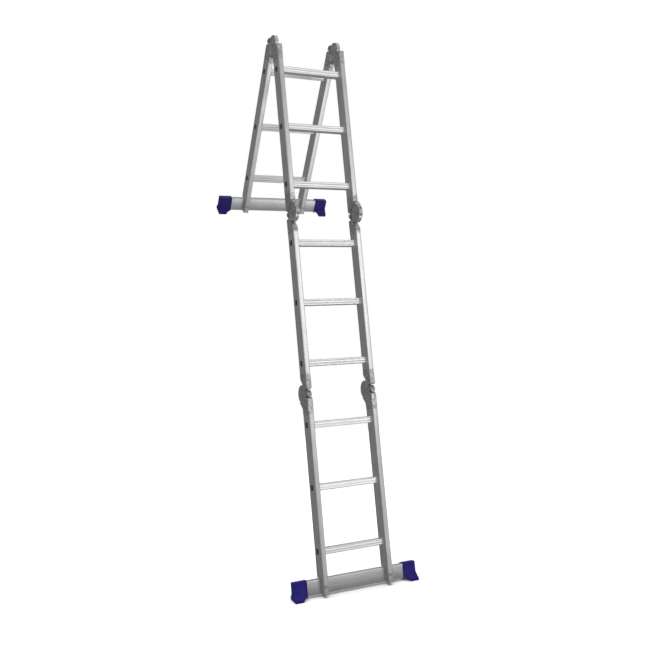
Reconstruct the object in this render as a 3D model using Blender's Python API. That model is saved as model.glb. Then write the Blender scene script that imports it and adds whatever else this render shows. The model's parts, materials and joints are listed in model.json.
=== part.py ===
"""Folding ladder in four sections, set up as a leaning ladder with a stand-off.

Metres, +Z up.  +X is to the climber's right, the climber stands on the -Y side,
and the ladder leans away from the climber, towards +Y.  Sections 1, 2 and 3 are
locked in one line.  Section 4 is folded down behind section 3.

Every part is first described on a straight, upright ladder: X across, Y to the
rear and Z along the stiles, with Z = 0 at the middle of the lowest rung.
"""
import math

import bmesh
import bpy
from mathutils import Matrix, Vector

# ---------------------------------------------------------------- sizes
LEAN = math.radians(12.0)
FOLD_C = math.radians(140.0)
RUNG_PITCH = 0.280
SECTION_PITCH = 3 * RUNG_PITCH
HALF_WIDTH = 0.175

STILE_WIDE = 0.025
STILE_DEEP = 0.066
STILE_WALL = 0.0018
STILE_RADIUS = 0.003

RUNG_SIDE = 0.030
RUNG_WALL = 0.0018
RUNG_RADIUS = 0.004
RUNG_PROUD = 0.001
OPENING_RADIUS = 0.002

GAP = 0.0003
SPIGOT_CLEAR = 0.0005

FOLD_OFFSET = 0.003
DISC_RADIUS = 0.044
DISC_WIDE = 0.017
DISC_CLEAR = 0.0006
CHEEK = 0.0032
HINGE_LENGTH = 0.092
SPIGOT_LENGTH = 0.030
SPIGOT_WALL = 0.002
CHEEK_SHOULDER = 0.020
TONGUE_SHOULDER = 0.023
TAPER_LENGTH = 0.062
TONGUE_RELIEF = 0.008
SHOULDER_ROUND = 0.004
CHEEK_START = math.radians(9.0)
TONGUE_START = math.radians(31.0)
TONGUE_STOP = math.radians(52.0)
CHANNEL_START = 0.050
PIN_RADIUS = 0.006
PIN_HEAD_RADIUS = 0.011
PIN_HEAD_THICK = 0.002
HEAD_CHAMFER = 0.001

LEVER_WIDE = 0.010
LEVER_NOSE_GAP = 0.004
STEM_LOW = -0.002
STEM_TOP = 0.015
STEM_CHAMFER = 0.007
STEM_SET_BACK = 0.003
LEVER_SLOT_TOP = 0.0155
THUMB_WIDE = 0.022
THUMB_REACH = 0.067
THUMB_DROP = 0.019
THUMB_SLOPE = 0.013
THUMB_CREST = 0.005
THUMB_INNER_TOP = 0.003
THUMB_OUTER_TOP = 0.010

BAR_DROP = 0.149
BAR_HIGH = 0.066
BAR_THICK = 0.025
BAR_HALF_LENGTH = 0.300
BAR_WALL = 0.0018
BAR_NEST = 0.040
END_JOINT_DROP = 0.072
END_DROP = 0.185
END_WALL = 0.004
END_RADIUS = 0.001
END_SPIGOT_LENGTH = 0.050

BOLT_RADIUS = 0.004
BOLT_HEAD_RADIUS = 0.0075
BOLT_HEAD_THICK = 0.004

FOOT_INNER = 0.243
FOOT_OUTER = 0.309
FOOT_WALL = 0.003
SOLE_INNER = 0.268
SOLE_OUTER = 0.311
SOLE_FRONT = 0.036
SOLE_REAR = 0.022
SOLE_DROP = 0.191
SOLE_THICK = 0.010
SOLE_LIP = 0.001
FOOT_ROUND = 0.004
FOOT_SHEAR = 0.006
SPREAD_FRONT = 0.026
FOOT_KNEE_RISE = 0.022
FOOT_SPREAD_RISE = 0.006

ROUND_STEPS = 28
PIN_STEPS = 12
CORNER_STEPS = 2
CUT_SPARE = 0.010

# ---------------------------------------------------------------- worked out
HINGE_A = 2.5 * RUNG_PITCH
HINGE_B = HINGE_A + SECTION_PITCH
HINGE_C = HINGE_B + SECTION_PITCH
PIVOT_DEPTH = STILE_DEEP / 2 + FOLD_OFFSET
STILE_CENTRE = HALF_WIDTH - STILE_WIDE / 2
BAR_FRONT = STILE_DEEP / 2 - BAR_NEST
BAR_CENTRE = BAR_FRONT + BAR_THICK / 2
SOLE_SLOPE = math.tan(LEAN)
FAR_FACE = FOLD_OFFSET + STILE_DEEP
LAST_RUNG = 11 * RUNG_PITCH

# ---------------------------------------------------------------- materials
COLOURS = {
    "aluminium": ((0.72, 0.73, 0.74, 1.0), 0.34, 1.0),
    "hinge_alloy": ((0.42, 0.43, 0.44, 1.0), 0.50, 0.85),
    "steel": ((0.50, 0.50, 0.51, 1.0), 0.30, 1.0),
    "lever_steel": ((0.16, 0.16, 0.17, 1.0), 0.45, 0.6),
    "blue_plastic": ((0.030, 0.018, 0.130, 1.0), 0.42, 0.0),
}


def make_material(name):
    colour, rough, metal = COLOURS[name]
    material = bpy.data.materials.new(name)
    material.use_nodes = True
    shader = material.node_tree.nodes["Principled BSDF"]
    shader.inputs["Base Color"].default_value = colour
    shader.inputs["Roughness"].default_value = rough
    shader.inputs["Metallic"].default_value = metal
    return material


# ---------------------------------------------------------------- frames
def make_frame(name, matrix):
    """An empty that carries one section, placed where the section stands."""
    empty = bpy.data.objects.new(name, None)
    bpy.context.scene.collection.objects.link(empty)
    empty.matrix_world = matrix
    return empty


def section_frames():
    """Sections 1 to 3 share one leaning frame; section 4 is turned about hinge C."""
    lean = Matrix.Rotation(-LEAN, 4, "X")
    pivot = Vector((0.0, PIVOT_DEPTH, HINGE_C))
    fold = Matrix.Translation(pivot) @ Matrix.Rotation(-FOLD_C, 4, "X") @ Matrix.Translation(-pivot)
    frames = {number: lean for number in (1, 2, 3)}
    frames[4] = lean @ fold
    return {number: make_frame(f"frame_{number}", frames[number]) for number in frames}


# ---------------------------------------------------------------- mesh helpers
def finish_mesh(name, bm, frame, material, smooth=True):
    """Turn a bmesh into a named object that stands in its section's frame."""
    bmesh.ops.recalc_face_normals(bm, faces=bm.faces[:])
    mesh = bpy.data.meshes.new(name)
    bm.to_mesh(mesh)
    bm.free()
    if smooth:
        mesh.shade_smooth()
        mesh.set_sharp_from_angle(angle=math.radians(35.0))
    item = bpy.data.objects.new(name, mesh)
    bpy.context.scene.collection.objects.link(item)
    item.parent = frame
    if material is not None:
        mesh.materials.append(material)
    return item


def rounded_rectangle(half_a, half_b, radius, steps=CORNER_STEPS):
    """Corner points, anticlockwise, of a rectangle with round corners."""
    points = []
    for index, (sign_a, sign_b) in enumerate(((1, 1), (-1, 1), (-1, -1), (1, -1))):
        for step in range(steps + 1):
            angle = math.radians(90.0) * (index + step / steps)
            a = sign_a * (half_a - radius) + radius * math.cos(angle)
            b = sign_b * (half_b - radius) + radius * math.sin(angle)
            points.append((a, b))
    return points


def loft(name, loops, frame, material, hollow):
    """Skin a chain of point loops; a hollow chain closes on itself, a solid one is capped."""
    bm = bmesh.new()
    rings = [[bm.verts.new(point) for point in loop] for loop in loops]
    pairs = list(zip(rings, rings[1:]))
    if hollow:
        pairs.append((rings[-1], rings[0]))
    for low, high in pairs:
        for index in range(len(low)):
            after = (index + 1) % len(low)
            bm.faces.new((low[index], low[after], high[after], high[index]))
    if not hollow:
        bm.faces.new(rings[0])
        bm.faces.new(rings[-1])
    return finish_mesh(name, bm, frame, material)


def upright_loop(x, y, z, half_x, half_y, radius):
    return [(x + a, y + b, z) for a, b in rounded_rectangle(half_x, half_y, radius)]


def across_loop(x, y, z, half_y, half_z, radius, steps=CORNER_STEPS):
    return [(x, y + a, z + b) for a, b in rounded_rectangle(half_y, half_z, radius, steps)]


def prism(name, points, low_x, high_x, frame, material):
    """A flat outline in the Y-Z plane, made solid between two X positions."""
    loops = [[(x, y, z) for y, z in points] for x in (low_x, high_x)]
    return loft(name, loops, frame, material, hollow=False)


def box(name, low, high, frame, material=None):
    points = ((low[1], low[2]), (high[1], low[2]), (high[1], high[2]), (low[1], high[2]))
    return prism(name, points, low[0], high[0], frame, material)


def circle(centre_y, centre_z, radius, steps=ROUND_STEPS):
    turns = [2 * math.pi * step / steps for step in range(steps)]
    return [(centre_y + radius * math.cos(turn), centre_z + radius * math.sin(turn)) for turn in turns]


def combine(target, tool, operation):
    """Keep a Boolean on the target, and hide the tool that it uses."""
    change = target.modifiers.new(operation.lower(), "BOOLEAN")
    change.operation = operation
    change.solver = "EXACT"
    change.object = tool
    tool.hide_render = True
    tool.display_type = "WIRE"


def cut(target, tool):
    combine(target, tool, "DIFFERENCE")


def join(target, tool):
    combine(target, tool, "UNION")


# ---------------------------------------------------------------- stiles and rungs
def stile(name, side, low, high, rungs, frame, material):
    """A hollow rectangular upright with square openings for its rungs."""
    x = side * STILE_CENTRE
    outer = (STILE_WIDE / 2, STILE_DEEP / 2, STILE_RADIUS)
    inner = (STILE_WIDE / 2 - STILE_WALL, STILE_DEEP / 2 - STILE_WALL, STILE_RADIUS - STILE_WALL)
    shells = ((low, outer), (high, outer), (high, inner), (low, inner))
    loops = [upright_loop(x, 0.0, z, *shell) for z, shell in shells]
    item = loft(name, loops, frame, material, hollow=True)
    half = RUNG_SIDE / 2 + GAP
    for number, z in enumerate(rungs):
        ends = (x - STILE_WIDE, x + STILE_WIDE)
        loops = [across_loop(end, 0.0, z, half, half, OPENING_RADIUS, steps=1) for end in ends]
        cut(item, loft(f"{name}_opening_{number}", loops, frame, None, hollow=False))
    return item


def rung(name, z, frame, material):
    """A square tube that runs right through both stiles and is open at its ends."""
    reach = HALF_WIDTH + RUNG_PROUD
    outer = (RUNG_SIDE / 2, RUNG_SIDE / 2, RUNG_RADIUS)
    inner = (RUNG_SIDE / 2 - RUNG_WALL, RUNG_SIDE / 2 - RUNG_WALL, RUNG_RADIUS - RUNG_WALL)
    shells = ((-reach, outer), (reach, outer), (reach, inner), (-reach, inner))
    loops = [across_loop(x, 0.0, z, *shell) for x, shell in shells]
    return loft(name, loops, frame, material, hollow=True)


# ---------------------------------------------------------------- hinges
def arc(start, stop, radius, steps):
    """Points on a circle about the pivot, from one angle to another."""
    turns = [start + (stop - start) * step / steps for step in range(steps + 1)]
    return [(radius * math.cos(turn), radius * math.sin(turn)) for turn in turns]


def cheek_outline():
    """The half with two cheeks: its disc runs on a tangent into the pivot-side face."""
    corner = Vector((FOLD_OFFSET, TAPER_LENGTH))
    lean = math.atan2(corner.y, corner.x)
    tangent = lean + math.acos(DISC_RADIUS / corner.length)
    far_side = [
        (FAR_FACE, HINGE_LENGTH),
        (FAR_FACE, CHEEK_SHOULDER + SHOULDER_ROUND),
        (FAR_FACE - SHOULDER_ROUND / 3, CHEEK_SHOULDER),
        (FAR_FACE - SHOULDER_ROUND, CHEEK_SHOULDER - SHOULDER_ROUND),
    ]
    disc = arc(CHEEK_START, tangent - 2 * math.pi, DISC_RADIUS, ROUND_STEPS)
    pivot_side = [(FOLD_OFFSET, TAPER_LENGTH), (FOLD_OFFSET, HINGE_LENGTH)]
    return far_side + disc + pivot_side


def tongue_outline():
    """The half with one thick tongue: cut back level beside the thumb piece, and clear of the taper."""
    far_side = [
        (FAR_FACE, HINGE_LENGTH),
        (FAR_FACE, TONGUE_SHOULDER + SHOULDER_ROUND),
        (FAR_FACE - SHOULDER_ROUND, TONGUE_SHOULDER),
    ]
    disc = arc(TONGUE_START, TONGUE_STOP - 2 * math.pi, DISC_RADIUS, ROUND_STEPS)
    pivot_side = [(FOLD_OFFSET, TAPER_LENGTH + TONGUE_RELIEF), (FOLD_OFFSET, HINGE_LENGTH)]
    return far_side + disc + pivot_side


def hinge_points(outline, pivot_side, pivot_z, upward):
    """Turn (distance from the pivot plane, distance from the pivot) into (Y, Z)."""
    pivot_y = pivot_side * PIVOT_DEPTH
    return [(pivot_y - pivot_side * a, pivot_z + upward * t) for a, t in outline]


def hinge_half(name, side, pivot_side, pivot_z, upward, tongue, frame, material):
    """One half of a hinge: casing, spigot inside the stile, and its cheeks or tongue."""
    x = side * STILE_CENTRE
    half = STILE_WIDE / 2
    outline = tongue_outline() if tongue else cheek_outline()
    points = hinge_points(outline, pivot_side, pivot_z, upward)
    item = prism(name, points, x - half, x + half, frame, material)
    add_spigot(item, x, pivot_z, upward, frame)
    pivot_y = pivot_side * PIVOT_DEPTH
    swing = circle(pivot_y, pivot_z, DISC_RADIUS + DISC_CLEAR)
    inside = DISC_WIDE / 2 - CHEEK
    thickness = inside - GAP if tongue else DISC_WIDE / 2
    for number, sign in enumerate((-1, 1)):
        faces = sorted((x + sign * thickness, x + sign * (half + CUT_SPARE)))
        cut(item, prism(f"{name}_side_{number}", swing, *faces, frame, None))
    if not tongue:
        cut(item, prism(f"{name}_slot", swing, x - inside, x + inside, frame, None))
        cut_lever_slot(item, x, pivot_side, pivot_z, upward, frame)
    hole = circle(pivot_y, pivot_z, PIN_RADIUS + GAP, steps=PIN_STEPS)
    reach = half + CUT_SPARE
    cut(item, prism(f"{name}_pin_hole", hole, x - reach, x + reach, frame, None))
    return item


def add_spigot(item, x, pivot_z, upward, frame):
    """A hollow stub that slides into the stile, open right through to the casing."""
    clear = STILE_WALL + SPIGOT_CLEAR
    half_x = STILE_WIDE / 2 - clear
    half_y = STILE_DEEP / 2 - clear
    start = HINGE_LENGTH - CUT_SPARE
    stop = HINGE_LENGTH + SPIGOT_LENGTH
    ends = sorted((pivot_z + upward * start, pivot_z + upward * stop))
    low = (x - half_x, -half_y, ends[0])
    high = (x + half_x, half_y, ends[1])
    join(item, box(f"{item.name}_spigot", low, high, frame))
    ends = sorted((pivot_z + upward * CHANNEL_START, pivot_z + upward * (stop + CUT_SPARE)))
    half_x -= SPIGOT_WALL
    half_y -= SPIGOT_WALL
    low = (x - half_x, -half_y, ends[0])
    high = (x + half_x, half_y, ends[1])
    cut(item, box(f"{item.name}_channel", low, high, frame))


def cut_lever_slot(item, x, pivot_side, pivot_z, upward, frame):
    """The guide for the release lever, open towards the joint."""
    half = LEVER_WIDE / 2 + GAP
    depths = (DISC_RADIUS - CUT_SPARE, FAR_FACE + CUT_SPARE)
    ys = sorted(pivot_side * (PIVOT_DEPTH - depth) for depth in depths)
    zs = sorted((pivot_z, pivot_z + upward * LEVER_SLOT_TOP))
    low = (x - half, ys[0], zs[0])
    high = (x + half, ys[1], zs[1])
    cut(item, box(f"{item.name}_lever_slot", low, high, frame))


def hinge_pin(name, side, pivot_side, pivot_z, frame, material):
    """The pivot rivet: a shank with a flat round head on each side."""
    x = side * STILE_CENTRE
    pivot_y = pivot_side * PIVOT_DEPTH
    near = DISC_WIDE / 2 + GAP
    far = near + PIN_HEAD_THICK
    edge = PIN_HEAD_RADIUS - HEAD_CHAMFER
    brim = far - HEAD_CHAMFER
    profile = (
        (-far, edge), (-brim, PIN_HEAD_RADIUS), (-near, PIN_HEAD_RADIUS), (-near, PIN_RADIUS),
        (near, PIN_RADIUS), (near, PIN_HEAD_RADIUS), (brim, PIN_HEAD_RADIUS), (far, edge),
    )
    rings = []
    for along, radius in profile:
        rings.append([(x + along, y, z) for y, z in circle(pivot_y, pivot_z, radius, steps=PIN_STEPS)])
    return loft(name, rings, frame, material, hollow=False)


def release_lever(name, side, pivot_side, pivot_z, upward, frame, material):
    """A guided stem, with a wider thumb piece in the gap between the two halves' shoulders."""
    x = side * STILE_CENTRE
    nose = DISC_RADIUS + LEVER_NOSE_GAP

    def place(points):
        return hinge_points(points, pivot_side, pivot_z, upward)

    back = THUMB_REACH - STEM_SET_BACK
    stem = (
        (nose, STEM_LOW), (back, STEM_LOW), (back, STEM_TOP),
        (nose + STEM_CHAMFER, STEM_TOP), (nose, STEM_TOP - STEM_CHAMFER),
    )
    half = LEVER_WIDE / 2
    item = prism(name, place(stem), x - half, x + half, frame, material)
    front = nose + GAP
    head = (
        (front, THUMB_INNER_TOP), (front, -THUMB_DROP), (front + THUMB_CREST, -THUMB_DROP),
        (THUMB_REACH, THUMB_SLOPE - THUMB_DROP), (THUMB_REACH, THUMB_OUTER_TOP),
    )
    half = THUMB_WIDE / 2
    thumb = prism(f"{name}_thumb", place(head), x - half, x + half, frame, material)
    join(item, thumb)
    return item


# ---------------------------------------------------------------- stabiliser ends
class End:
    """Mirrors heights and depths between the lower end and the upper end of the ladder."""

    def __init__(self, rung_z, away, rear):
        self.rung_z = rung_z
        self.away = away
        self.rear = rear

    def z(self, drop):
        return self.rung_z + self.away * drop

    def y(self, depth):
        return self.rear * depth


def stile_end(name, side, end, frame, material):
    """The thick-walled stile end, notched for the bar, with a spigot inside the stile."""
    x = side * STILE_CENTRE
    outer = (STILE_WIDE / 2, STILE_DEEP / 2, STILE_RADIUS)
    clear = STILE_WALL + SPIGOT_CLEAR
    neck = (STILE_WIDE / 2 - clear, STILE_DEEP / 2 - clear, END_RADIUS)
    inner = (STILE_WIDE / 2 - END_WALL, STILE_DEEP / 2 - END_WALL, END_RADIUS)
    top = END_JOINT_DROP - END_SPIGOT_LENGTH
    shells = (
        (END_DROP, outer), (END_JOINT_DROP + GAP, outer), (END_JOINT_DROP + GAP, neck),
        (top, neck), (top, inner), (END_DROP, inner),
    )
    loops = [upright_loop(x, 0.0, end.z(drop), *shell) for drop, shell in shells]
    item = loft(name, loops, frame, material, hollow=True)
    ys = sorted((end.y(BAR_FRONT - GAP), end.y(STILE_DEEP)))
    zs = sorted((end.z(BAR_DROP - BAR_HIGH / 2 - GAP), end.z(END_DROP + CUT_SPARE)))
    low = (x - STILE_WIDE, ys[0], zs[0])
    high = (x + STILE_WIDE, ys[1], zs[1])
    cut(item, box(f"{name}_notch", low, high, frame))
    cut(item, bolt_hole(f"{name}_bolt_hole", x, end, frame))
    return item


def bolt_hole(name, x, end, frame):
    """A round cutter through stile end and bar."""
    rings = []
    for depth in (-STILE_DEEP, STILE_DEEP):
        ring = circle(x, end.z(BAR_DROP), BOLT_RADIUS + GAP, steps=PIN_STEPS)
        rings.append([(a, end.y(depth), b) for a, b in ring])
    return loft(name, rings, frame, None, hollow=False)


def stabiliser_bar(name, end, frame, material):
    """The long cross tube at the foot of the end section."""
    outer = (BAR_THICK / 2, BAR_HIGH / 2, STILE_RADIUS)
    inner = (BAR_THICK / 2 - BAR_WALL, BAR_HIGH / 2 - BAR_WALL, STILE_RADIUS - BAR_WALL)
    reach = BAR_HALF_LENGTH
    shells = ((-reach, outer), (reach, outer), (reach, inner), (-reach, inner))
    centre = (end.y(BAR_CENTRE), end.z(BAR_DROP))
    loops = [across_loop(x, *centre, *shell) for x, shell in shells]
    item = loft(name, loops, frame, material, hollow=True)
    for number, side in enumerate((-1, 1)):
        cut(item, bolt_hole(f"{name}_hole_{number}", side * STILE_CENTRE, end, frame))
    return item


def bar_bolt(name, side, end, frame, material):
    """A shank through stile end and bar, closed by a round head on each side."""
    x = side * STILE_CENTRE
    front = -STILE_DEEP / 2 - GAP
    rear = BAR_FRONT + BAR_THICK + GAP
    profile = (
        (front - BOLT_HEAD_THICK, BOLT_HEAD_RADIUS - HEAD_CHAMFER), (front - HEAD_CHAMFER, BOLT_HEAD_RADIUS),
        (front, BOLT_HEAD_RADIUS), (front, BOLT_RADIUS), (rear, BOLT_RADIUS),
        (rear, BOLT_HEAD_RADIUS), (rear + HEAD_CHAMFER, BOLT_HEAD_RADIUS - HEAD_CHAMFER / 2),
    )
    rings = []
    for depth, radius in profile:
        ring = circle(x, end.z(BAR_DROP), radius, steps=PIN_STEPS)
        rings.append([(a, end.y(depth), b) for a, b in ring])
    return loft(name, rings, frame, material, hollow=False)


def foot(name, side, end, frame, material):
    """A plastic boot: a sleeve over the bar's end that spreads into a level sole."""
    sleeve_top = BAR_DROP - BAR_HIGH / 2 - FOOT_WALL
    sleeve_low = BAR_DROP + BAR_HIGH / 2 - FOOT_KNEE_RISE
    half = BAR_THICK / 2 + FOOT_WALL
    spread = BAR_DROP + BAR_HIGH / 2 - FOOT_SPREAD_RISE
    levels = (
        (sleeve_top, FOOT_INNER, FOOT_OUTER, -half, half, 0.0),
        (sleeve_low, FOOT_INNER, FOOT_OUTER, -half, half, 0.0),
        (spread, FOOT_INNER + FOOT_SHEAR, SOLE_OUTER, -SPREAD_FRONT, SOLE_REAR, 0.5),
        (SOLE_DROP - SOLE_THICK, SOLE_INNER - SOLE_LIP, SOLE_OUTER + SOLE_LIP, -SOLE_FRONT, SOLE_REAR, 1.0),
        (SOLE_DROP, SOLE_INNER, SOLE_OUTER, -SOLE_FRONT, SOLE_REAR, 1.0),
    )
    loops = []
    for drop, inner, outer, front, rear, slope in levels:
        middle_x = side * (inner + outer) / 2
        middle_y = BAR_CENTRE + (front + rear) / 2
        ring = rounded_rectangle((outer - inner) / 2, (rear - front) / 2, FOOT_ROUND)
        loop = []
        for a, b in ring:
            fall = slope * SOLE_SLOPE * (BAR_CENTRE - middle_y - b)
            loop.append((middle_x + a, end.y(middle_y + b), end.z(drop + fall)))
        loops.append(loop)
    item = loft(name, loops, frame, material, hollow=False)
    xs = sorted((side * (FOOT_INNER - CUT_SPARE), side * (BAR_HALF_LENGTH + GAP)))
    half_y = BAR_THICK / 2 + GAP
    half_z = BAR_HIGH / 2 + GAP
    centre = (end.y(BAR_CENTRE), end.z(BAR_DROP))
    loops = [across_loop(x, *centre, half_y, half_z, STILE_RADIUS) for x in xs]
    cut(item, loft(f"{name}_pocket", loops, frame, None, hollow=False))
    return item


# ---------------------------------------------------------------- assembly
def stand_on_origin(frames):
    """Move the whole ladder so that the origin is at the bottom centre of its box."""
    bpy.context.view_layer.update()
    graph = bpy.context.evaluated_depsgraph_get()
    points = []
    for item in bpy.data.objects:
        if item.type == "MESH" and not item.hide_render:
            mesh = item.evaluated_get(graph).data
            points += [item.matrix_world @ vertex.co for vertex in mesh.vertices]
    low = [min(point[axis] for point in points) for axis in range(3)]
    high = [max(point[axis] for point in points) for axis in range(3)]
    shift = Vector((-(low[0] + high[0]) / 2, -(low[1] + high[1]) / 2, -low[2]))
    for frame in frames.values():
        frame.location += shift


SIDES = {"left": -1, "right": 1}
LOWER_END = End(0.0, -1, 1)
UPPER_END = End(LAST_RUNG, 1, -1)


def build_section(number, frame, materials):
    """The stiles and the three rungs of one section."""
    first = (number - 1) * SECTION_PITCH
    rungs = [first + step * RUNG_PITCH for step in range(3)]
    low = first - RUNG_PITCH / 2 + HINGE_LENGTH + GAP
    high = first + SECTION_PITCH - RUNG_PITCH / 2 - HINGE_LENGTH - GAP
    if number == 1:
        low = LOWER_END.z(END_JOINT_DROP)
    if number == 4:
        high = UPPER_END.z(END_JOINT_DROP)
    for word, side in SIDES.items():
        stile(f"s{number}_stile_{word}", side, low, high, rungs, frame, materials["aluminium"])
    for step, z in enumerate(rungs):
        rung(f"s{number}_rung_{step + 1}", z, frame, materials["aluminium"])


def build_hinge(letter, pivot_side, pivot_z, upward, cheek_frame, tongue_frame, materials):
    """Both hinges of one fold; upward is 1 where the cheeks are on the upper section, else -1."""
    alloy = materials["hinge_alloy"]
    for word, side in SIDES.items():
        name = f"hinge_{letter}_{word}"
        place = (side, pivot_side, pivot_z)
        hinge_half(f"{name}_cheeks", *place, upward, False, cheek_frame, alloy)
        hinge_half(f"{name}_tongue", *place, -upward, True, tongue_frame, alloy)
        hinge_pin(f"{name}_pin", *place, cheek_frame, materials["steel"])
        release_lever(f"{name}_lever", *place, upward, cheek_frame, materials["lever_steel"])


def build_end(word, end, frame, materials):
    """Stile ends, stabiliser bar, bolts and feet at one end of the ladder."""
    stabiliser_bar(f"{word}_bar", end, frame, materials["aluminium"])
    for side_word, side in SIDES.items():
        stile_end(f"{word}_stile_end_{side_word}", side, end, frame, materials["aluminium"])
        bar_bolt(f"{word}_bolt_{side_word}", side, end, frame, materials["steel"])
        foot(f"{word}_foot_{side_word}", side, end, frame, materials["blue_plastic"])


def main():
    for item in list(bpy.data.objects):
        bpy.data.objects.remove(item)
    materials = {name: make_material(name) for name in COLOURS}
    frames = section_frames()
    for number, frame in frames.items():
        build_section(number, frame, materials)
    build_hinge("a", 1, HINGE_A, -1, frames[1], frames[2], materials)
    build_hinge("b", -1, HINGE_B, 1, frames[3], frames[2], materials)
    build_hinge("c", 1, HINGE_C, 1, frames[4], frames[3], materials)
    build_end("lower", LOWER_END, frames[1], materials)
    build_end("upper", UPPER_END, frames[4], materials)
    stand_on_origin(frames)


main()
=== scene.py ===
"""Looks of the folding ladder: detailed meshes, finishes, light and camera.

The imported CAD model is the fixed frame.  Each piece is described on a straight,
upright ladder (X across, Y to the rear, Z along the stiles, zero at the middle of
the lowest rung) and is then placed on the section that it belongs to.
"""

import json
import math

import bmesh
import bpy
from mathutils import Matrix, Vector

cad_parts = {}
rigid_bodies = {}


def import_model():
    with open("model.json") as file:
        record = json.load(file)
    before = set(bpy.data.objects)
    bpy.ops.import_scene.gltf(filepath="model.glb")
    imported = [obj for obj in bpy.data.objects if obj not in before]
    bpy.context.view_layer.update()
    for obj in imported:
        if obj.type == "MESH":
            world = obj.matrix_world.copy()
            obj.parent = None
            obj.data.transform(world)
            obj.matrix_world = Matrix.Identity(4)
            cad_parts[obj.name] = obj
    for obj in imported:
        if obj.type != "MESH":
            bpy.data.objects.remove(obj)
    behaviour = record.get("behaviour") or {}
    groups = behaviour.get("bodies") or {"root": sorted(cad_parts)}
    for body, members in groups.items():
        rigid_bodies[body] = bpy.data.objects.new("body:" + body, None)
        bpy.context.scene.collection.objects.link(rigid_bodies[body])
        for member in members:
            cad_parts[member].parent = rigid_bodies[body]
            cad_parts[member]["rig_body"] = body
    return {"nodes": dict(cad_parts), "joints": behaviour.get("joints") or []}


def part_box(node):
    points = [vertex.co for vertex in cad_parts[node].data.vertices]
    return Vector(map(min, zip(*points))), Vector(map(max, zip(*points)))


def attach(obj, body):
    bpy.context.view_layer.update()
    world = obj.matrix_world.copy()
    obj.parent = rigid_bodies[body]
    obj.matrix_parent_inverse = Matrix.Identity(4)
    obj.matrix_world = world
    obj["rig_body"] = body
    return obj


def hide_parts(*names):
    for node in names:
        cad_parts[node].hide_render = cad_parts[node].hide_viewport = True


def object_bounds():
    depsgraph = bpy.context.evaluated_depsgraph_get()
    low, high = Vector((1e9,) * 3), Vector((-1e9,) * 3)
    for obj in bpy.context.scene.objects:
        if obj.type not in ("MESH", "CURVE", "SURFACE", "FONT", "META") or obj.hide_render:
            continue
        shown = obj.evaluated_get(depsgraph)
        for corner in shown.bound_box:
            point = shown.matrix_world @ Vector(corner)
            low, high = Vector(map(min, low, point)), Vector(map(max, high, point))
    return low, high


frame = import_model()
cad_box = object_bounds()

# ---------------------------------------------------------------- detail sizes
GAP = 0.0003

TUBE_RADIUS = 0.003
TUBE_WALL = 0.0018
TUBE_GROOVES = (-0.0240, 0.0240)
TUBE_GROOVE_WIDE = 0.0032
TUBE_GROOVE_DEEP = 0.0007
END_CHAMFER = 0.0004

RUNG_RADIUS = 0.0035
RUNG_WALL = 0.0018
RUNG_TREAD_GROOVES = (-0.0090, -0.0045, 0.0, 0.0045, 0.0090)
RUNG_FACE_GROOVES = (-0.0060, 0.0060)
RUNG_GROOVE_WIDE = 0.0026
RUNG_GROOVE_DEEP = 0.0004
LIP_OUT = 0.0016
BEAD_OUT = 0.0018
BEAD_THICK = 0.0024

CHEEK = 0.0032
DISC_WIDE = 0.017
DISC_CLEAR = 0.0006
ROUNDING_SPARE = 0.0005
TAPER_LENGTH = 0.062
HINGE_EDGE = 0.0014

CHEEK_SHOULDER = 0.020
CHEEK_CORNER = 0.006
CHEEK_SLOPE_FOOT = 0.0075
CHEEK_START = math.radians(9.0)
CHEEK_RIVETS = ((0.016, 0.056), (0.054, 0.036), (0.036, 0.078))

TONGUE_SHOULDER = 0.023
TONGUE_CORNER = 0.004
TONGUE_START = math.radians(31.0)
TONGUE_RIVETS = ((0.055, 0.042), (0.026, 0.078))
NECK_ANGLE = math.radians(46.0)
NECK_RELIEF = 0.008

PANEL_BORDER = 0.0045
PANEL_WALL = 0.0010
PANEL_DEPTH = 0.0011
PANEL_BEND = (math.radians(38.0), math.radians(74.0))
PANEL_BEND_STEPS = 20
PANEL_RELIEF = 0.012
DISH_BORDER = 0.0050

HUB_RADIUS = 0.0150
HUB_SKIRT = 0.0016
RING_RADIUS = 0.0265
RING_WIDE = 0.0055
RING_ROUND = 0.0003
ROOT = 0.0004
HOLE_STEPS = 24
LOCK_HOLE_RADIUS = 0.0042
LOCK_HOLE_DEPTH = 0.0140
LOCK_HOLE_ANGLES = (math.radians(156.0), math.radians(204.0))
NECK_HOLE_RADIUS = 0.0042
NECK_HOLE_ALONG = 0.0593
NECK_HOLE_REACH = (-0.010, 0.012)
RIVET_RADIUS = 0.0042
RIVET_PROUD = 0.0012
PIN_RADIUS = 0.006
BEYOND_CASING = 0.05
BEYOND_END = 0.01
BEYOND_PANEL = 0.002

LEVER_WIDE = 0.010
LEVER_SLOT_TOP = 0.0155
LEVER_SLOT_REACH = (0.030, 0.100)
STEM_LOW = -0.002
STEM_TOP = 0.015
STEM_CHAMFER = 0.007
STEM_SET_BACK = 0.003
STEM_EDGE = 0.0006
THUMB_WIDE = 0.022
THUMB_SLOPE = 0.013
THUMB_INNER_TOP = 0.003
THUMB_OUTER_TOP = 0.0093
THUMB_BASE_WIDE = 0.0041
THUMB_CORNER = 0.004
THUMB_EDGE = 0.0012
THUMB_SPARE = 0.0004
RIDGE_START = 0.0036
RIDGE_PITCH = 0.0038
RIDGE_HALF = 0.0010
RIDGE_DEEP = 0.0007

END_WALL = 0.004
NOTCH_REACH = 0.1
BOLT_RADIUS = 0.004
BOLT_WASHER = 0.0010
BOLT_HEAD = 0.0040
BOLT_TAIL = 0.0010
BOLT_HEXAGON = 0.92
BOLT_SHARP_ANGLE = 25.0

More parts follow.
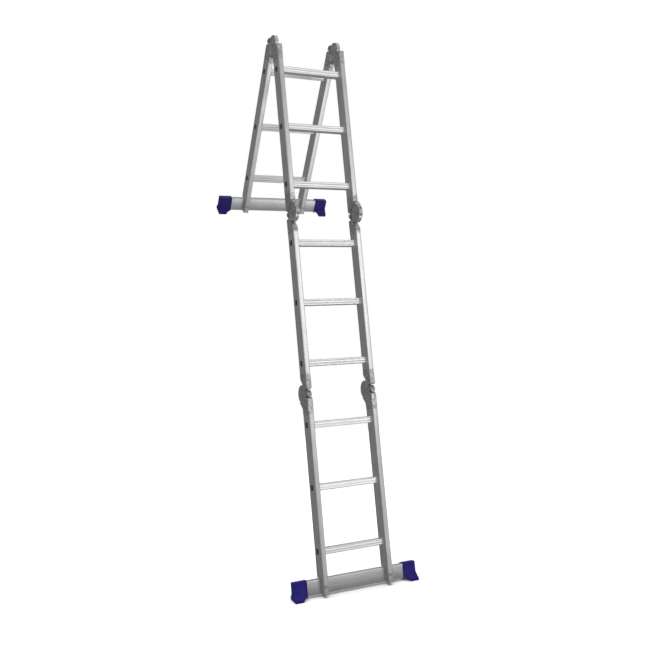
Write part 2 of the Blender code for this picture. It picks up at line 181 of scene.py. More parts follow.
FOOT_WALL = 0.003
SLEEVE_LONG = 0.066
SLEEVE_ROUND = 0.0010
SOLE_INSET = 0.025
SOLE_SPARE = 0.001
SOLE_GROOVE = 0.0012
KNEE_RISE = 0.022
SPREAD_RISE = 0.006
COLLAR_WIDE = 0.0045
COLLAR_PROUD = 0.0010
COLLAR_ROUND = 0.0005
TREAD_PITCH = 0.0085
TREAD_WIDE = 0.0032
TREAD_DEEP = 0.0022
TREAD_FIRST = 0.0075
TREAD_LAST = 0.004
TREAD_SPAN = 0.07
TREAD_BELOW = 0.020

DISC_STEPS = 72
ROUND_STEPS = 32
CORNER_STEPS = 4
SHARP_ANGLE = 38.0
BUMP_DISTANCE = 0.0002

# ---------------------------------------------------------------- places, from the frame
JOINTS = {joint["name"]: joint for joint in frame["joints"]}
LOWER_SECTIONS = {"a": 1, "b": 2, "c": 3}
CHEEK_SECTIONS = {"a": 1, "b": 3, "c": 4}
SIDES = {"left": -1, "right": 1}


def centre_of(node):
    low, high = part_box(node)
    return (low + high) / 2


def section_places():
    """Each section's matrix, from the straight ladder's own frame to the row frame."""
    hinge_a = Vector(JOINTS["fold_a"]["pos_m"])
    hinge_c = Vector(JOINTS["fold_c"]["pos_m"])
    up = (hinge_c - hinge_a).normalized()
    lean = Matrix.Rotation(-math.atan2(up.y, up.z), 4, "X")
    upright = Matrix.Translation(centre_of("s1_rung_1")) @ lean
    fold = JOINTS["fold_c"]
    turn = Matrix.Rotation(math.radians(-fold["range_deg"][0]), 4, Vector(fold["axis"]))
    folded = Matrix.Translation(hinge_c) @ turn @ Matrix.Translation(-hinge_c) @ upright
    return {1: upright, 2: upright, 3: upright, 4: folded}


PLACES = section_places()


def body_of(node):
    return frame["nodes"][node]["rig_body"]


def place_of(node):
    """The matrix of the section that a node stands on at rest."""
    kind, word = body_of(node).split("_")[:2]
    return PLACES[int(word) if kind == "section" else CHEEK_SECTIONS[word]]


def local_box(node):
    """Lowest and highest corner of a CAD node in the straight ladder's frame."""
    inverse = place_of(node).inverted()
    points = [inverse @ vertex.co for vertex in frame["nodes"][node].data.vertices]
    low = Vector([min(point[axis] for point in points) for axis in range(3)])
    high = Vector([max(point[axis] for point in points) for axis in range(3)])
    return low, high


def local_pivot(letter):
    """A fold's pivot line, as (Y, Z) in the straight ladder's frame."""
    point = PLACES[1].inverted() @ Vector(JOINTS[f"fold_{letter}"]["pos_m"])
    return point.y, point.z


# ---------------------------------------------------------------- materials
def new_material(name):
    material = bpy.data.materials.new(name)
    material.use_nodes = True
    return material, material.node_tree, material.node_tree.nodes["Principled BSDF"]


def stretched_noise(tree, stretch, scale, detail, section=1):
    """Noise read along a section's own axes, and drawn out along one of them."""
    place = tree.nodes.new("ShaderNodeTexCoord")
    turned_back = tree.nodes.new("ShaderNodeMapping")
    turned_back.inputs["Rotation"].default_value = PLACES[section].inverted().to_euler()
    mapping = tree.nodes.new("ShaderNodeMapping")
    mapping.inputs["Scale"].default_value = stretch
    noise = tree.nodes.new("ShaderNodeTexNoise")
    noise.inputs["Scale"].default_value = scale
    noise.inputs["Detail"].default_value = detail
    tree.links.new(place.outputs["Object"], turned_back.inputs["Vector"])
    tree.links.new(turned_back.outputs["Vector"], mapping.inputs["Vector"])
    tree.links.new(mapping.outputs["Vector"], noise.inputs["Vector"])
    return noise.outputs["Fac"]


def ramp(tree, source, low, high, low_value, high_value):
    """Map a stretch of a noise onto colours or grey values."""
    node = tree.nodes.new("ShaderNodeValToRGB")
    node.color_ramp.elements[0].position = low
    node.color_ramp.elements[1].position = high
    node.color_ramp.elements[0].color = low_value
    node.color_ramp.elements[1].color = high_value
    tree.links.new(source, node.inputs["Fac"])
    return node.outputs["Color"]


def grey(value):
    return (value, value, value, 1.0)


def multiply(tree, first, second):
    node = tree.nodes.new("ShaderNodeMix")
    node.data_type = "RGBA"
    node.blend_type = "MULTIPLY"
    node.inputs["Factor"].default_value = 1.0
    tree.links.new(first, node.inputs["A"])
    tree.links.new(second, node.inputs["B"])
    return node.outputs["Result"]


def add_bump(tree, shader, height, strength):
    bump = tree.nodes.new("ShaderNodeBump")
    bump.inputs["Strength"].default_value = strength
    bump.inputs["Distance"].default_value = BUMP_DISTANCE
    tree.links.new(height, bump.inputs["Height"])
    tree.links.new(bump.outputs["Normal"], shader.inputs["Normal"])


def extruded_aluminium(name, stretch, section=1, dark=0.76, light=0.84, line_tone=0.93, relief=0.12):
    """Mill-finish extrusion: draw lines along its length, faint cloudy tarnish."""
    material, tree, shader = new_material(name)
    lines = stretched_noise(tree, stretch, 900.0, 3.0, section)
    clouds = stretched_noise(tree, (1.0, 1.0, 1.0), 14.0, 5.0)
    tone = ramp(
        tree, clouds, 0.30, 0.70,
        (dark - 0.005, dark, dark + 0.010, 1), (light - 0.005, light - 0.002, light + 0.002, 1),
    )
    drawn = ramp(tree, lines, 0.25, 0.75, grey(line_tone), grey(1.0))
    tree.links.new(multiply(tree, tone, drawn), shader.inputs["Base Color"])
    tree.links.new(ramp(tree, lines, 0.2, 0.8, grey(0.29), grey(0.42)), shader.inputs["Roughness"])
    add_bump(tree, shader, lines, relief)
    shader.inputs["Metallic"].default_value = 1.0
    return material


def pressed_alloy(name):
    """Tumbled, blotchy grey metal of the hinge pressings."""
    material, tree, shader = new_material(name)
    blotches = stretched_noise(tree, (1.0, 1.0, 1.0), 75.0, 4.0)
    grains = stretched_noise(tree, (1.0, 1.0, 1.0), 900.0, 2.0)
    tone = ramp(tree, blotches, 0.34, 0.66, (0.50, 0.505, 0.515, 1), (0.82, 0.823, 0.828, 1))
    speckle = ramp(tree, grains, 0.3, 0.7, grey(0.88), grey(1.0))
    tree.links.new(multiply(tree, tone, speckle), shader.inputs["Base Color"])
    tree.links.new(ramp(tree, blotches, 0.3, 0.7, grey(0.50), grey(0.36)), shader.inputs["Roughness"])
    add_bump(tree, shader, grains, 0.18)
    shader.inputs["Metallic"].default_value = 1.0
    return material


def turned_steel(name, low, high, roughness):
    """Zinc-plated or blackened steel with a fine grain."""
    material, tree, shader = new_material(name)
    grains = stretched_noise(tree, (1.0, 1.0, 1.0), 420.0, 3.0)
    tree.links.new(ramp(tree, grains, 0.3, 0.7, grey(low), grey(high)), shader.inputs["Base Color"])
    rough = ramp(tree, grains, 0.3, 0.7, grey(roughness - 0.05), grey(roughness + 0.06))
    tree.links.new(rough, shader.inputs["Roughness"])
    add_bump(tree, shader, grains, 0.10)
    shader.inputs["Metallic"].default_value = 1.0
    return material


def moulded_plastic(name):
    """Indigo plastic with a fine spark-eroded texture and faint flow clouds."""
    material, tree, shader = new_material(name)
    clouds = stretched_noise(tree, (1.0, 1.0, 1.0), 45.0, 3.0)
    grains = stretched_noise(tree, (1.0, 1.0, 1.0), 1100.0, 2.0)
    tone = ramp(tree, clouds, 0.3, 0.7, (0.0060, 0.0030, 0.100, 1), (0.0100, 0.0060, 0.140, 1))
    tree.links.new(tone, shader.inputs["Base Color"])
    tree.links.new(ramp(tree, grains, 0.3, 0.7, grey(0.38), grey(0.50)), shader.inputs["Roughness"])
    add_bump(tree, shader, grains, 0.20)
    shader.inputs["IOR"].default_value = 1.48
    shader.inputs["Specular IOR Level"].default_value = 0.25
    return material


ALONG_STILE = (1.0, 1.0, 0.01)
ALONG_RUNG = (0.01, 1.0, 1.0)
UPRIGHT = {
    1: extruded_aluminium("aluminium_upright", ALONG_STILE),
    4: extruded_aluminium("aluminium_folded", ALONG_STILE, section=4),
}
ACROSS = extruded_aluminium("aluminium_across", ALONG_RUNG)
# the rungs get a brighter copy of the same mill-finish aluminium: painted light, which makes their fluted
# fronts as bright as the stiles' flat fronts
RUNG_PAINTED_BRIGHT = extruded_aluminium("aluminium_rung", ALONG_RUNG, dark=0.90, light=0.95, line_tone=0.97, relief=0.05)
ALLOY = pressed_alloy("hinge_alloy_pressed")
STEEL = turned_steel("steel_zinc", 0.50, 0.66, 0.30)
DARK_STEEL = turned_steel("steel_dark", 0.46, 0.56, 0.50)
PLASTIC = moulded_plastic("plastic_indigo")


# ---------------------------------------------------------------- outlines
def side_points(half, grooves, wide, deep):
    """(depth below the side, place along it) for one straight side of a tube."""
    points = [(0.0, -half)]
    for centre in grooves:
        points.append((0.0, centre - wide / 2))
        points.append((0.75 * deep, centre - wide / 4))
        points.append((deep, centre))
        points.append((0.75 * deep, centre + wide / 4))
        points.append((0.0, centre + wide / 2))
    points.append((0.0, half))
    return points


def tube_profile(half_a, half_b, radius, grooves_a=(), grooves_b=(), wide=0.003, deep=0.0):
    """A rectangle with round corners, grooved along its A sides and its B sides."""
    turns = (
        (Vector((1, 0)), Vector((0, 1)), half_a, half_b, grooves_a),
        (Vector((0, 1)), Vector((-1, 0)), half_b, half_a, grooves_b),
        (Vector((-1, 0)), Vector((0, -1)), half_a, half_b, grooves_a),
        (Vector((0, -1)), Vector((1, 0)), half_b, half_a, grooves_b),
    )
    points = []
    for out, along, reach, half, grooves in turns:
        straight = half - radius
        for sunk, place in side_points(straight, grooves, wide, deep):
            points.append(out * (reach - sunk) + along * place)
        corner = out * (reach - radius) + along * straight
        for step in range(1, CORNER_STEPS):
            angle = math.radians(90.0) * step / CORNER_STEPS
            points.append(corner + radius * (math.cos(angle) * out + math.sin(angle) * along))
    return points


def arc(start, stop, radius, steps):
    turns = [start + (stop - start) * step / steps for step in range(steps + 1)]
    return [(radius * math.cos(turn), radius * math.sin(turn)) for turn in turns]


def circle(centre_a, centre_b, radius, steps=ROUND_STEPS):
    return [(centre_a + a, centre_b + b) for a, b in arc(0, 2 * math.pi, radius, steps)[:-1]]


def rounded_corner(before, corner, after, radius, steps=4):
    """Points that round one corner of an outline."""
    first = (Vector(before) - Vector(corner)).normalized()
    second = (Vector(after) - Vector(corner)).normalized()
    reach = radius / math.tan(first.angle(second) / 2)
    start = Vector(corner) + first * reach
    stop = Vector(corner) + second * reach
    points = []
    for step in range(steps + 1):
        share = step / steps
        low = start.lerp(Vector(corner), share)
        high = Vector(corner).lerp(stop, share)
        points.append(tuple(low.lerp(high, share)))
    return points


# ---------------------------------------------------------------- meshes
def skin(bm, rings, closed=False):
    """Join rings of equally many points with faces; cap the ends unless closed."""
    made = [[bm.verts.new(point) for point in ring] for ring in rings]
    pairs = list(zip(made, made[1:]))
    if closed:
        pairs.append((made[-1], made[0]))
    for low, high in pairs:
        for index in range(len(low)):
            after = (index + 1) % len(low)
            bm.faces.new((low[index], low[after], high[after], high[index]))
    if not closed:
        bm.faces.new(made[0])
        bm.faces.new(made[-1])
    return made


def turned(bm, place, profile, material=0, steps=ROUND_STEPS):
    """A closed turned solid: profile holds (along the axis, radius), place makes 3-D points."""
    before = set(bm.faces)
    rings = []
    for along, radius in profile:
        rings.append([place(along, a, b) for a, b in circle(0.0, 0.0, radius, steps)])
    skin(bm, rings)
    for face in set(bm.faces) - before:
        face.material_index = material


def prism(bm, outline, low_x, high_x, edge=0.0):
    """An outline in (Y, Z) made solid between two X positions, with rounded side edges."""
    before = set(bm.edges)
    made = skin(bm, [[(x, y, z) for y, z in outline] for x in (low_x, high_x)])
    if edge:
        rims = [set(ring) for ring in made]
        edges = [e for e in bm.edges if e not in before and any(set(e.verts) <= rim for rim in rims)]
        bmesh.ops.bevel(bm, geom=edges, offset=edge, segments=3, profile=0.5, affect="EDGES")


def box(bm, low, high):
    outline = ((low[1], low[2]), (high[1], low[2]), (high[1], high[2]), (low[1], high[2]))
    prism(bm, outline, low[0], high[0])


def shade(mesh, angle=SHARP_ANGLE):
    """Smooth shading, kept sharp where faces meet at more than the angle in degrees."""
    mesh.shade_smooth()
    mesh.set_sharp_from_angle(angle=math.radians(angle))


def make_object(name, bm, materials=(), angle=SHARP_ANGLE):
    bmesh.ops.recalc_face_normals(bm, faces=bm.faces[:])
    mesh = bpy.data.meshes.new(name)
    bm.to_mesh(mesh)
    bm.free()
    for material in materials:
        mesh.materials.append(material)
    shade(mesh, angle)
    item = bpy.data.objects.new(name, mesh)
    bpy.context.scene.collection.objects.link(item)
    return item


def carve(item, cutters):
    """Cut each cutter out of the item for good, and throw the cutters away."""
    for tool in cutters:
        change = item.modifiers.new("cut", "BOOLEAN")
        change.operation = "DIFFERENCE"
        change.solver = "EXACT"
        change.object = tool
    bpy.context.view_layer.update()
    graph = bpy.context.evaluated_depsgraph_get()
    mesh = bpy.data.meshes.new_from_object(item.evaluated_get(graph))
    item.modifiers.clear()
    item.data = mesh
    shade(mesh)
    for tool in cutters:
        bpy.data.objects.remove(tool)
    return item


def cutter(build, *values, **options):
    """A loose solid made by one of the builders above, for carve."""
    bm = bmesh.new()
    build(bm, *values, **options)
    return make_object("cutter", bm)


def add_shells(item, bm):
    """Add a bmesh's shells to the item's own mesh."""
    bmesh.ops.recalc_face_normals(bm, faces=bm.faces[:])
    bm.from_mesh(item.data)
    bm.to_mesh(item.data)
    bm.free()
    shade(item.data)


def settle(item, node):
    """Put a finished piece on its section, in place of its CAD node."""
    item.data.transform(place_of(node))
    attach(item, body_of(node))
    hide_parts(node)
    return item


# ---------------------------------------------------------------- stiles, rungs and bars
def hollow_tube(bm, place, half_a, half_b, low, high, wall, lines=TUBE_GROOVES):
    """A grooved or plain extrusion between two places, hollow, with chamfered ends."""
    grooves = dict(grooves_a=lines, wide=TUBE_GROOVE_WIDE)
    outer = tube_profile(half_a, half_b, TUBE_RADIUS, deep=TUBE_GROOVE_DEEP, **grooves)
    slim = tube_profile(
        half_a - END_CHAMFER, half_b - END_CHAMFER, TUBE_RADIUS, deep=TUBE_GROOVE_DEEP, **grooves
    )
    inner_radius = max(TUBE_RADIUS - wall, 0.0008)
    inner = tube_profile(half_a - wall, half_b - wall, inner_radius, deep=0.0, **grooves)
    stations = (
        (low, inner), (low, slim), (low + END_CHAMFER, outer),
        (high - END_CHAMFER, outer), (high, slim), (high, inner),
    )
    skin(bm, [[place(along, a, b) for a, b in shape] for along, shape in stations], closed=True)


def rung_opening(low, high):
    """A cutter where a rung goes through both walls of a stile."""
    half_y = (high.y - low.y) / 2 + GAP
    half_z = (high.z - low.z) / 2 + GAP
    middle = (low + high) / 2
    ring = tube_profile(half_y, half_z, RUNG_RADIUS)
    reach = high.x + TUBE_WALL
    return cutter(skin, [[(x, middle.y + a, middle.z + b) for a, b in ring] for x in (-reach, reach)])


def stile_look(number, word):
    node = f"s{number}_stile_{word}"
    low, high = local_box(node)
    middle = (low + high) / 2
    half = (high - low) / 2

    def place(along, a, b):
        return (middle.x + a, middle.y + b, along)

    bm = bmesh.new()
    hollow_tube(bm, place, half.x, half.y, low.z, high.z, TUBE_WALL)
    item = make_object(f"{node}_look", bm, [UPRIGHT[4 if number == 4 else 1]])
    carve(item, [rung_opening(*local_box(f"s{number}_rung_{step}")) for step in (1, 2, 3)])
    return settle(item, node)


def rung_ring(x, half, grow, deep, middle):
    """One cross-section of a rung, fluted by deep and grown all round."""
    size = half + grow
    shape = tube_profile(
        size, size, RUNG_RADIUS, RUNG_FACE_GROOVES, RUNG_TREAD_GROOVES, RUNG_GROOVE_WIDE, deep
    )
    return [(x, middle.y + a, middle.z + b) for a, b in shape]


def rung_look(number, step):
    """A fluted square tube, beaded against the stile and swaged over at its open ends."""
    node = f"s{number}_rung_{step}"
    low, high = local_box(node)
    middle = (low + high) / 2
    half = (high.z - low.z) / 2
    reach = high.x
    stile_low, stile_high = local_box(f"s{number}_stile_right")
    inner_face = stile_low.x
    outer_face = stile_high.x
    flute = RUNG_GROOVE_DEEP
    stations = (
        (reach, -RUNG_WALL, 0.0), (reach, 0.0, 0.0), (reach, LIP_OUT - END_CHAMFER, 0.0),
        (reach - END_CHAMFER, LIP_OUT, 0.0), (outer_face, LIP_OUT, 0.0), (outer_face, -GAP, 0.0),
        (inner_face, -GAP, 0.0), (inner_face, BEAD_OUT, 0.0),
        (inner_face - BEAD_THICK / 2, BEAD_OUT, 0.0),
        (inner_face - BEAD_THICK, BEAD_OUT / 3, 0.0), (inner_face - BEAD_THICK * 1.3, 0.0, flute),
    )
    right = [rung_ring(x, half, grow, deep, middle) for x, grow, deep in stations]
    left = [rung_ring(-x, half, grow, deep, middle) for x, grow, deep in reversed(stations)]
    bm = bmesh.new()
    skin(bm, right + left, closed=True)
    return settle(make_object(f"{node}_look", bm, [RUNG_PAINTED_BRIGHT]), node)


def bar_look(word):
    node = f"{word}_bar"
    low, high = local_box(node)
    middle = (low + high) / 2
    half = (high - low) / 2

    def place(along, a, b):
        return (along, middle.y + a, middle.z + b)

    bm = bmesh.new()
    hollow_tube(bm, place, half.y, half.z, low.x, high.x, TUBE_WALL, lines=())
    item = make_object(f"{node}_look", bm, [ACROSS])
    carve(item, [bolt_hole(word, side) for side in SIDES])
    return settle(item, node)


# ---------------------------------------------------------------- stile ends and bolts
def bolt_hole(word, side):
    low, high = local_box(f"{word}_bolt_{side}")
    middle = (low + high) / 2
    ring = circle(middle.x, middle.z, BOLT_RADIUS + GAP, HOLE_STEPS)
    return cutter(skin, [[(a, y, b) for a, b in ring] for y in (low.y, high.y)])


def stile_end_look(word, side):
    """The thick end piece that is notched for the bar."""
    node = f"{word}_stile_end_{side}"
    low, high = local_box(node)
    number = 1 if word == "lower" else 4
    stile_low, stile_high = local_box(f"s{number}_stile_{side}")
    bar_low, bar_high = local_box(f"{word}_bar")
    middle = (low + high) / 2
    half = (stile_high - stile_low) / 2

    def place(along, a, b):
        return (middle.x + a, b, along)

    if word == "lower":
        z_span = (low.z, stile_low.z - GAP)
        rear = 1
    else:
        z_span = (stile_high.z + GAP, high.z)
        rear = -1
    bm = bmesh.new()
    hollow_tube(bm, place, half.x, half.y, *z_span, END_WALL)
    item = make_object(f"{node}_look", bm, [UPRIGHT[number]])
    face = bar_low.y - GAP if rear > 0 else bar_high.y + GAP
    ys = sorted((face, rear * NOTCH_REACH))
    if rear > 0:
        zs = (z_span[0] - BEYOND_END, bar_high.z + GAP)
    else:
        zs = (bar_low.z - GAP, z_span[1] + BEYOND_END)
    notch = cutter(box, (middle.x - NOTCH_REACH, ys[0], zs[0]), (middle.x + NOTCH_REACH, ys[1], zs[1]))
    carve(item, [notch, bolt_hole(word, side)])
    return settle(item, node)


def bolt_look(word, side):
    """Six-sided head with a washer face on the open side, low round head on the other."""
    node = f"{word}_bolt_{side}"
    low, high = local_box(node)
    middle = (low + high) / 2
    bar_low, bar_high = local_box(f"{word}_bar")
    lower = word == "lower"
    start = low.y if lower else high.y
    inward = 1 if lower else -1
    far = high.y if lower else low.y
    radius = (high.x - low.x) / 2

    def place(along, a, b):
        return (middle.x + a, start + inward * along, middle.z + b)

    length = abs(far - start)
    rim = BOLT_HEAD - BOLT_WASHER
    bm = bmesh.new()
    turned(bm, place, (
        (rim, radius - 0.0004), (rim + 0.0003, radius), (BOLT_HEAD - 0.0001, radius),
        (BOLT_HEAD, BOLT_RADIUS), (length - BOLT_TAIL, BOLT_RADIUS), (length - BOLT_TAIL, radius),
        (length - 0.0004, radius - 0.0006), (length, radius - 0.0030),
    ))
    hexagon = radius * BOLT_HEXAGON
    turned(bm, place, (
        (rim + 0.0001, hexagon), (0.0006, hexagon), (0.0, hexagon - 0.0009), (0.0, 0.0030), (0.0004, 0.0024),
    ), steps=6)
    item = make_object(f"{node}_look", bm, [STEEL], BOLT_SHARP_ANGLE)
    return settle(item, node)


# ---------------------------------------------------------------- hinges
class Hinge:
    """One fold's outline sizes, read from its CAD nodes.

    The pieces are made round the pivot, at the origin, and moved to it afterwards.
    """

    def __init__(self, letter, side):
        self.letter = letter
        self.side = side
        self.name = f"hinge_{letter}_{side}"
        y, z = local_pivot(letter)
        self.pivot_side = 1 if y > 0 else -1
        below = LOWER_SECTIONS[letter]
        self.cheek_up = -1 if CHEEK_SECTIONS[letter] == below else 1
        stile_low, stile_high = local_box(f"s{below}_stile_{side}")
        cheek_low, cheek_high = local_box(f"{self.name}_cheeks")
        self.centre = Vector(((stile_low.x + stile_high.x) / 2, y, z))
        self.half = (stile_high.x - stile_low.x) / 2
        reach = cheek_high.y - y if self.pivot_side > 0 else y - cheek_low.y
        self.radius = reach - ROUNDING_SPARE
        self.length = z - stile_high.z - GAP
        self.near = abs(y) - stile_high.y
        self.far = abs(y) + stile_high.y

    def points(self, outline, upward):
        """Turn (distance from the pivot plane, distance from the pivot) into (Y, Z)."""
        return [(-self.pivot_side * a, upward * t) for a, t in outline]

    def settle(self, item, node, slot):
        """Move a piece from the origin to the pivot, then put it on its section."""
        item.data.transform(Matrix.Translation(self.centre))
        return settle(item, node)

    def cheek_outline(self, inset=0.0):
        """The half with two cheeks: its disc runs on a tangent into the pivot-side face."""
        near = self.near + inset
        far = self.far - inset
        top = self.length - inset
        radius = self.radius - inset
        # the two shares keep the slope about one inset away from the uninset one
        slope_start = (far, CHEEK_SHOULDER + inset * 0.6)
        slope_end = (self.radius - inset * 0.3, CHEEK_SLOPE_FOOT + inset)
        far_side = [(far, top)] + rounded_corner((far, top), slope_start, slope_end, CHEEK_CORNER)
        corner = Vector((near, TAPER_LENGTH))
        tangent = math.atan2(corner.y, corner.x) + math.acos(radius / corner.length)
        start = CHEEK_START + inset / radius
        disc = arc(start, tangent - 2 * math.pi, radius, DISC_STEPS)
        # the point on the tangent itself is left out, because its corner is too flat to round
        return far_side + disc[:-1] + [(near, TAPER_LENGTH), (near, top)]

    def tongue_outline(self):
        """The half with one tongue: cut back beside the thumb piece and clear of the cheeks."""
        top_corner = (self.far, self.length)
        disc = arc(TONGUE_START, NECK_ANGLE - 2 * math.pi, self.radius, DISC_STEPS)
        shoulder = rounded_corner(top_corner, (self.far, TONGUE_SHOULDER), disc[0], TONGUE_CORNER)
        neck = (self.near, TAPER_LENGTH + NECK_RELIEF)
        return [top_corner] + shoulder + disc + [neck, (self.near, self.length)]

    def tongue_panel(self, inset):
        """The sunk panel on the tongue's casing, which stops short of the disc."""
        near = self.near + inset
        far = self.far - inset
        top = self.length - inset
        bend = arc(*PANEL_BEND, self.radius + inset, PANEL_BEND_STEPS)
        far_side = [(far, top), (far, TONGUE_SHOULDER + inset)]
        return far_side + bend + [(near, TAPER_LENGTH + PANEL_RELIEF), (near, top)]


def panel_cutter(hinge, shape, upward, face):
    """A shallow cutter with sloping walls, on one side face of a hinge half."""
    depths = ((-PANEL_DEPTH, PANEL_BORDER + PANEL_WALL), (0.0, PANEL_BORDER), (BEYOND_PANEL, PANEL_BORDER))
    rings = []
    for depth, inset in depths:
        x = face * (hinge.half + depth)
        rings.append([(x, y, z) for y, z in hinge.points(shape(inset), upward)])
    return cutter(skin, rings)


def disc_cutter(hinge, low_x, high_x):
    ring = circle(0.0, 0.0, hinge.radius + DISC_CLEAR, DISC_STEPS)
    return cutter(prism, ring, low_x, high_x)


def pin_cutter():
    ring = circle(0.0, 0.0, PIN_RADIUS + GAP)
    return cutter(prism, ring, -BEYOND_CASING, BEYOND_CASING)


def lock_hole_cutter(hinge, upward, angle):
    """A round blind hole in the rim of the tongue's disc, pointing at the pivot."""
    out = Vector((-hinge.pivot_side * math.cos(angle), upward * math.sin(angle)))
    across = Vector((-out.y, out.x))
    rings = []
    for depth in (hinge.radius - LOCK_HOLE_DEPTH, hinge.radius + BEYOND_END):
        ring = []
        for a, b in circle(0.0, 0.0, LOCK_HOLE_RADIUS, HOLE_STEPS):
            ring.append((a, out.x * depth + across.x * b, out.y * depth + across.y * b))
        rings.append(ring)
    return cutter(skin, rings)


def neck_hole_cutter(hinge):
    """A round blind hole in the cheeks' neck, seen from the pivot side."""
    ring = circle(0.0, hinge.cheek_up * NECK_HOLE_ALONG, NECK_HOLE_RADIUS, HOLE_STEPS)
    ys = [-hinge.pivot_side * reach for reach in NECK_HOLE_REACH]
    return cutter(skin, [[(a, y, b) for a, b in ring] for y in ys])


def add_rivets(bm, hinge, upward, spots, face):
    """Domed rivet heads that fix a hinge half to its casing, in the second material."""
    for a, t in spots:
        (y, z), = hinge.points([(a, t)], upward)

        def place(along, across, up, y=y, z=z):
            return (face * (hinge.half + along), y + across, z + up)

        turned(bm, place, (
            (-PANEL_DEPTH - ROOT, RIVET_RADIUS), (RIVET_PROUD * 0.2, RIVET_RADIUS),
            (RIVET_PROUD * 0.7, RIVET_RADIUS * 0.80), (RIVET_PROUD, RIVET_RADIUS * 0.40),
            (RIVET_PROUD, RIVET_RADIUS * 0.10),
        ), material=1, steps=20)


def add_rings(bm, face):
    """The hub and the ring that stand out of the disc's dish on one side."""
    def place(along, across, up):
        return (face * (DISC_WIDE / 2 + along), across, up)

    floor = -PANEL_DEPTH - ROOT
    turned(bm, place, (
        (floor, HUB_RADIUS + HUB_SKIRT), (-RING_ROUND, HUB_RADIUS), (0.0, HUB_RADIUS - HUB_SKIRT / 2),
        (0.0, PIN_RADIUS),
    ), steps=48)
    inner = RING_RADIUS - RING_WIDE / 2
    outer = RING_RADIUS + RING_WIDE / 2
    sections = (
        (floor, inner), (-RING_ROUND, inner + RING_WIDE * 0.25), (0.0, RING_RADIUS),
        (-RING_ROUND, outer - RING_WIDE * 0.25), (floor, outer),
    )
    rings = [[place(along, a, b) for a, b in circle(0.0, 0.0, radius, 64)] for along, radius in sections]
    skin(bm, rings, closed=True)


def disc_side_cutters(hinge):
    """Thin the casing down to the disc on both sides, with a shallow dish inside its rim."""
    cutters = []
    for face in (-1, 1):
        side = face * DISC_WIDE / 2
        cutters.append(disc_cutter(hinge, *sorted((side, face * BEYOND_CASING))))
        rings = []
        depths = ((-PANEL_DEPTH, DISH_BORDER + PANEL_WALL), (BEYOND_PANEL, DISH_BORDER - PANEL_WALL))
        for depth, inset in depths:
            ring = circle(0.0, 0.0, hinge.radius - inset, DISC_STEPS)
            rings.append([(side + face * depth, y, z) for y, z in ring])
        cutters.append(cutter(skin, rings))
    return cutters


def lever_slot_cutter(hinge):
    """The slot in the cheeks' casing that the lever's stem slides in."""
    half = LEVER_WIDE / 2 + GAP
    ys = sorted(-hinge.pivot_side * reach for reach in LEVER_SLOT_REACH)
    zs = sorted((0.0, hinge.cheek_up * LEVER_SLOT_TOP))
    return cutter(box, (-half, ys[0], zs[0]), (half, ys[1], zs[1]))


def cheeks_look(hinge):
    """The half whose casing has two cheeks, which take the tongue between them."""
    node = f"{hinge.name}_cheeks"
    bm = bmesh.new()
    upward = hinge.cheek_up
    outline = hinge.points(hinge.cheek_outline(), upward)
    prism(bm, outline, -hinge.half, hinge.half, HINGE_EDGE)
    item = make_object(f"{node}_look", bm, [ALLOY, STEEL])
    inside = DISC_WIDE / 2 - CHEEK
    cutters = [panel_cutter(hinge, hinge.cheek_outline, upward, face) for face in (-1, 1)]
    cutters += disc_side_cutters(hinge)
    cutters += [disc_cutter(hinge, -inside, inside), lever_slot_cutter(hinge)]
    carve(item, cutters + [pin_cutter(), neck_hole_cutter(hinge)])
    extra = bmesh.new()
    for face in (-1, 1):
        add_rings(extra, face)
        add_rivets(extra, hinge, upward, CHEEK_RIVETS, face)
    add_shells(item, extra)
    return hinge.settle(item, node, "hinge_alloy")


def tongue_look(hinge):
    """The half whose casing has one thick tongue, holed for the lock."""
    node = f"{hinge.name}_tongue"
    bm = bmesh.new()
    upward = -hinge.cheek_up
    outline = hinge.points(hinge.tongue_outline(), upward)
    prism(bm, outline, -hinge.half, hinge.half, HINGE_EDGE)
    item = make_object(f"{node}_look", bm, [ALLOY, STEEL])
    inside = DISC_WIDE / 2 - CHEEK - GAP
    cutters = [panel_cutter(hinge, hinge.tongue_panel, upward, face) for face in (-1, 1)]
    for face in (-1, 1):
        cutters.append(disc_cutter(hinge, *sorted((face * inside, face * BEYOND_CASING))))
    cutters.append(pin_cutter())
    for angle in LOCK_HOLE_ANGLES:
        cutters.append(lock_hole_cutter(hinge, upward, angle))
    carve(item, cutters)
    extra = bmesh.new()
    for face in (-1, 1):
        add_rivets(extra, hinge, upward, TONGUE_RIVETS, face)
    add_shells(item, extra)
    return hinge.settle(item, node, "hinge_alloy")


def pin_look(hinge):
    """The pivot rivet: shank, flat domed heads and a small peened dimple."""
    node = f"{hinge.name}_pin"
    low, high = local_box(node)
    near = DISC_WIDE / 2 + GAP
    far = (high.x - low.x) / 2
    radius = (high.y - low.y) / 2

    def place(along, a, b):
        return (along, a, b)

    head = (
        (near, PIN_RADIUS), (near, radius - 0.0003), (near + 0.0003, radius), (near + 0.0008, radius),
        (far - 0.0004, radius * 0.80), (far, radius * 0.55), (far, radius * 0.30),
        (far - 0.0008, radius * 0.22), (far - 0.0009, radius * 0.06),
    )
    profile = [(-along, size) for along, size in reversed(head)] + list(head)
    bm = bmesh.new()
    turned(bm, place, profile, steps=40)
    return hinge.settle(make_object(f"{node}_look", bm, [STEEL]), node, "steel")


